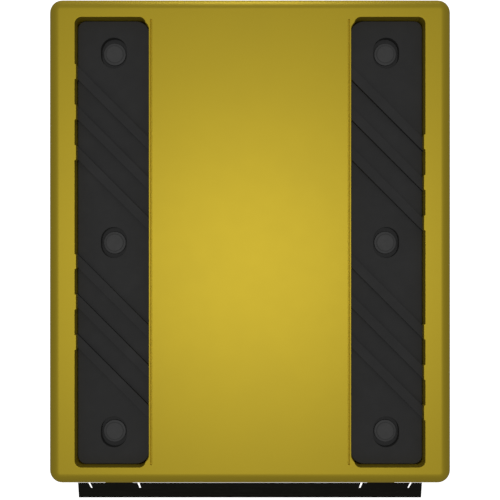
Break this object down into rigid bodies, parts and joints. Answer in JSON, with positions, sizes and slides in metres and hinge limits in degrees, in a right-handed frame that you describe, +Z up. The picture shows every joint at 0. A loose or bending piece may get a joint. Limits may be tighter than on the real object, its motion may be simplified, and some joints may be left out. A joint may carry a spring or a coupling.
{
  "type": "parking wheel stop",
  "caption": "Low hollow yellow block with two recessed ribbed black inlay pads, capped ground anchors along each pad and a sloped black sheet apron on the front.",
  "frame": {"origin": "on the ground, under the middle of the whole stop's box", "axes": "+Z up from the ground, +Y from the apron towards the rear, +X to the right when seen from the front"},
  "size_m": [0.4068, 0.522, 0.11],
  "materials": {
    "moulded_yellow": "fine moulded grain, satin",
    "pad_rubber": "matt, ribbed",
    "apron_black": "smooth black powder coat, slight sheen",
    "strip_rubber": "matt foam rubber",
    "cap_plastic": "satin moulded",
    "painted_steel": "black powder coat",
    "plated_steel": "zinc plated"
  },
  "bodies": {
    "root": {"body_shell": "moulded_yellow", "front_foot_strip": "strip_rubber", "rear_foot_strip": "strip_rubber", "left_foot_strip": "strip_rubber", "right_foot_strip": "strip_rubber", "left_tread_pad": "pad_rubber", "right_tread_pad": "pad_rubber", "left_anchor_rail": "painted_steel", "right_anchor_rail": "painted_steel", "left_compression_sleeves": "plated_steel", "right_compression_sleeves": "plated_steel", "left_sleeve_nuts": "plated_steel", "right_sleeve_nuts": "plated_steel", "left_anchor_washers": "painted_steel", "right_anchor_washers": "painted_steel", "left_nut_caps": "cap_plastic", "right_nut_caps": "cap_plastic", "front_apron": "apron_black", "left_apron_doubler": "plated_steel", "right_apron_doubler": "plated_steel", "left_apron_bracket": "plated_steel", "right_apron_bracket": "plated_steel", "left_wall_plate": "plated_steel", "right_wall_plate": "plated_steel", "bracket_bolts": "plated_steel", "bracket_washers": "plated_steel", "bracket_nuts": "plated_steel", "apron_nuts": "plated_steel", "apron_washers": "plated_steel"}
  },
  "joints": []
}
